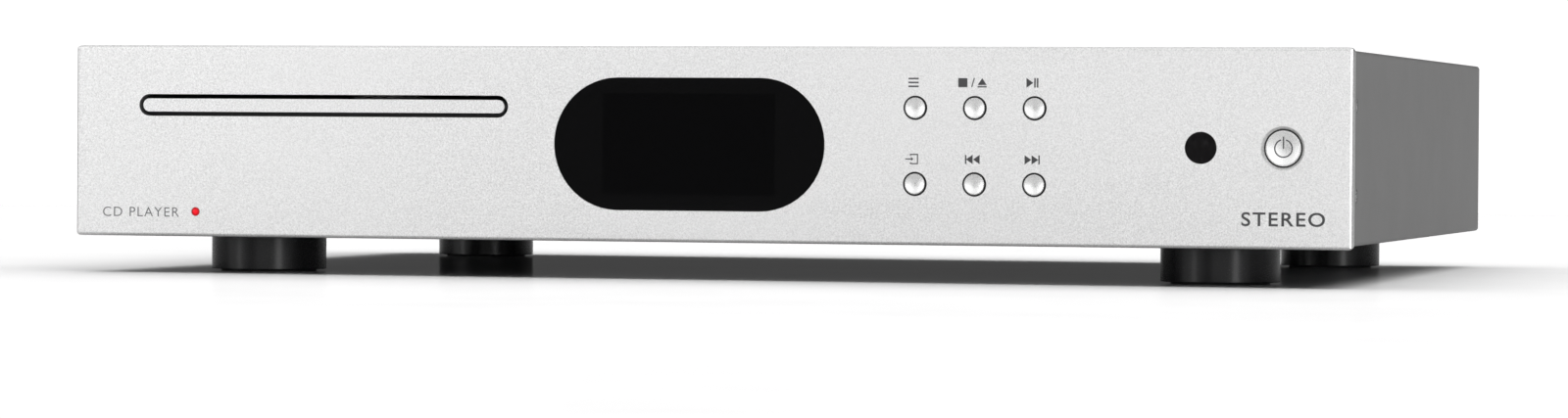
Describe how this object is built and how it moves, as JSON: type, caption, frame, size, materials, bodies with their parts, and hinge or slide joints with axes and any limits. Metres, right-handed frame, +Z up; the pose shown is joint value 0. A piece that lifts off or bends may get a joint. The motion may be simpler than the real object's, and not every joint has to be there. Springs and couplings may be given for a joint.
{
  "type": "cd player",
  "caption": "Slim silver hi-fi disc player with a front tray loader, round-ended display window, small round buttons and a dished power button.",
  "frame": {"origin": "bottom centre of the whole player, on the surface the feet stand on", "axes": "+X to the right seen from the front, +Y to the rear, +Z up"},
  "size_m": [0.444, 0.338, 0.0785],
  "materials": {
    "fascia_silver": "bead-blasted anodised",
    "cover_paint": "smooth satin paint",
    "plated_steel": "zinc plated sheet",
    "rear_steel": "satin paint",
    "screw_steel": "bright zinc",
    "foot_plastic": "satin black",
    "pad_rubber": "matt",
    "gloss_black": "polished",
    "module_black": "matt",
    "ir_plastic": "polished dark tint",
    "lamp_red": "clear red",
    "button_metal": "fine satin",
    "guide_plastic": "moulded",
    "board_green": "solder mask",
    "board_tan": "solder mask",
    "parts_black": "moulded",
    "brass": "turned",
    "transformer_wrap": "wound tape",
    "socket_black": "moulded",
    "rocker_black": "moulded",
    "phono_metal": "gold plated",
    "loader_plastic": "moulded",
    "tray_plastic": "moulded",
    "puck_plastic": "moulded",
    "motor_steel": "drawn can",
    "sled_metal": "cast",
    "lens_glass": "coated",
    "belt_rubber": "matt",
    "gear_plastic": "moulded"
  },
  "bodies": {
    "case": {"front_fascia": "fascia_silver", "front_subpanel": "plated_steel", "base_pan": "plated_steel", "rear_panel": "rear_steel", "top_cover": "cover_paint", "case_screws": "screw_steel", "foot_front_left": "foot_plastic", "foot_front_right": "foot_plastic", "foot_rear_left": "foot_plastic", "foot_rear_right": "foot_plastic", "foot_pads": "pad_rubber", "foot_screws": "screw_steel", "display_window": "gloss_black", "display_module": "module_black", "ir_window": "ir_plastic", "power_lamp": "lamp_red", "button_guide": "guide_plastic", "front_board": "board_green", "front_board_parts": "parts_black", "main_board": "board_green", "supply_board": "board_tan", "board_parts": "parts_black", "board_fixings": "brass", "mains_transformer": "transformer_wrap", "transformer_fixings": "screw_steel", "mains_inlet": "socket_black", "mains_pins": "brass", "switch_housing": "socket_black", "line_outputs": "phono_metal", "coax_output": "phono_metal", "optical_output": "socket_black", "trigger_sockets": "socket_black", "loader_frame": "loader_plastic", "loader_stands": "plated_steel", "clamp_bridge": "plated_steel", "loading_motor": "motor_steel", "loading_belt": "belt_rubber"},
    "tray": {"disc_tray": "tray_plastic", "tray_front": "fascia_silver"},
    "puck": {"clamp_puck": "puck_plastic"},
    "pickup_frame": {"sub_chassis": "loader_plastic", "spindle_motor": "motor_steel", "guide_rods": "screw_steel", "sled_motor": "motor_steel"},
    "platter": {"turntable": "tray_plastic"},
    "pickup": {"laser_sled": "sled_metal", "laser_lens": "lens_glass"},
    "screw": {"lead_screw": "screw_steel"},
    "motor_spindle": {"motor_pulley": "brass"},
    "belt_wheel": {"pulley_wheel": "gear_plastic"},
    "gear_hub": {"drive_gear": "gear_plastic"},
    "mains_switch": {"switch_rocker": "rocker_black"},
    "shutter": {"optical_shutter": "rocker_black"},
    "key_menu": {"button_menu": "button_metal"},
    "key_stop_eject": {"button_stop_eject": "button_metal"},
    "key_play_pause": {"button_play_pause": "button_metal"},
    "key_source": {"button_source": "button_metal"},
    "key_previous": {"button_previous": "button_metal"},
    "key_next": {"button_next": "button_metal"},
    "key_power": {"button_power": "button_metal"}
  },
  "joints": [
    {"name": "tray_slide", "type": "slide", "parent": "case", "child": "tray", "axis": [0, -1, 0], "range_m": [0, 0.133]},
    {"name": "gear_spin", "type": "hinge", "parent": "case", "child": "gear_hub", "pos_m": [-0.06272, -0.1345, 0.051], "axis": [0, 0, 1], "continuous": true},
    {"name": "wheel_spin", "type": "hinge", "parent": "case", "child": "belt_wheel", "pos_m": [-0.04694, -0.12539, 0.046], "axis": [0, 0, 1], "continuous": true},
    {"name": "motor_spin", "type": "hinge", "parent": "case", "child": "motor_spindle", "pos_m": [-0.0399, -0.0925, 0.046], "axis": [0, 0, 1], "continuous": true},
    {"name": "pickup_tilt", "type": "hinge", "parent": "case", "child": "pickup_frame", "pos_m": [-0.1319, 0.0175, 0.05], "axis": [1, 0, 0], "range_deg": [0, 3.2]},
    {"name": "disc_spin", "type": "hinge", "parent": "pickup_frame", "child": "platter", "pos_m": [-0.1319, -0.0965, 0.058], "axis": [0, 0, 1], "continuous": true},
    {"name": "puck_spin", "type": "hinge", "parent": "case", "child": "puck", "pos_m": [-0.1319, -0.0965, 0.062], "axis": [0, 0, 1], "continuous": true},
    {"name": "pickup_slide", "type": "slide", "parent": "pickup_frame", "child": "pickup", "axis": [0, 1, 0], "range_m": [0, 0.035]},
    {"name": "screw_spin", "type": "hinge", "parent": "pickup_frame", "child": "screw", "pos_m": [-0.1009, -0.0485, 0.046], "axis": [0, 1, 0], "continuous": true},
    {"name": "menu_press", "type": "slide", "parent": "case", "child": "key_menu", "axis": [0, 1, 0], "range_m": [0, 0.0006], "stiffness_N_per_m": 400},
    {"name": "stop_eject_press", "type": "slide", "parent": "case", "child": "key_stop_eject", "axis": [0, 1, 0], "range_m": [0, 0.0006], "stiffness_N_per_m": 400},
    {"name": "play_pause_press", "type": "slide", "parent": "case", "child": "key_play_pause", "axis": [0, 1, 0], "range_m": [0, 0.0006], "stiffness_N_per_m": 400},
    {"name": "source_press", "type": "slide", "parent": "case", "child": "key_source", "axis": [0, 1, 0], "range_m": [0, 0.0006], "stiffness_N_per_m": 400},
    {"name": "previous_press", "type": "slide", "parent": "case", "child": "key_previous", "axis": [0, 1, 0], "range_m": [0, 0.0006], "stiffness_N_per_m": 400},
    {"name": "next_press", "type": "slide", "parent": "case", "child": "key_next", "axis": [0, 1, 0], "range_m": [0, 0.0006], "stiffness_N_per_m": 400},
    {"name": "power_press", "type": "slide", "parent": "case", "child": "key_power", "axis": [0, 1, 0], "range_m": [0, 0.0006], "stiffness_N_per_m": 400},
    {"name": "mains_rock", "type": "hinge", "parent": "case", "child": "mains_switch", "pos_m": [0.138, 0.157, 0.045], "axis": [-1, 0, 0], "range_deg": [0, 16]},
    {"name": "shutter_swing", "type": "hinge", "parent": "case", "child": "shutter", "pos_m": [0.048, 0.1598, 0.0403], "axis": [-1, 0, 0], "range_deg": [0, 80], "stiffness_Nm_per_rad": 0.0005}
  ],
  "couplings": [
    {"joint": "gear_spin", "follows": "tray_slide", "rad_per_m": 168.07},
    {"joint": "wheel_spin", "follows": "tray_slide", "rad_per_m": -378.15},
    {"joint": "motor_spin", "follows": "tray_slide", "rad_per_m": -1308},
    {"joint": "puck_spin", "follows": "disc_spin", "ratio": 1},
    {"joint": "screw_spin", "follows": "pickup_slide", "rad_per_m": 2094.4}
  ]
}
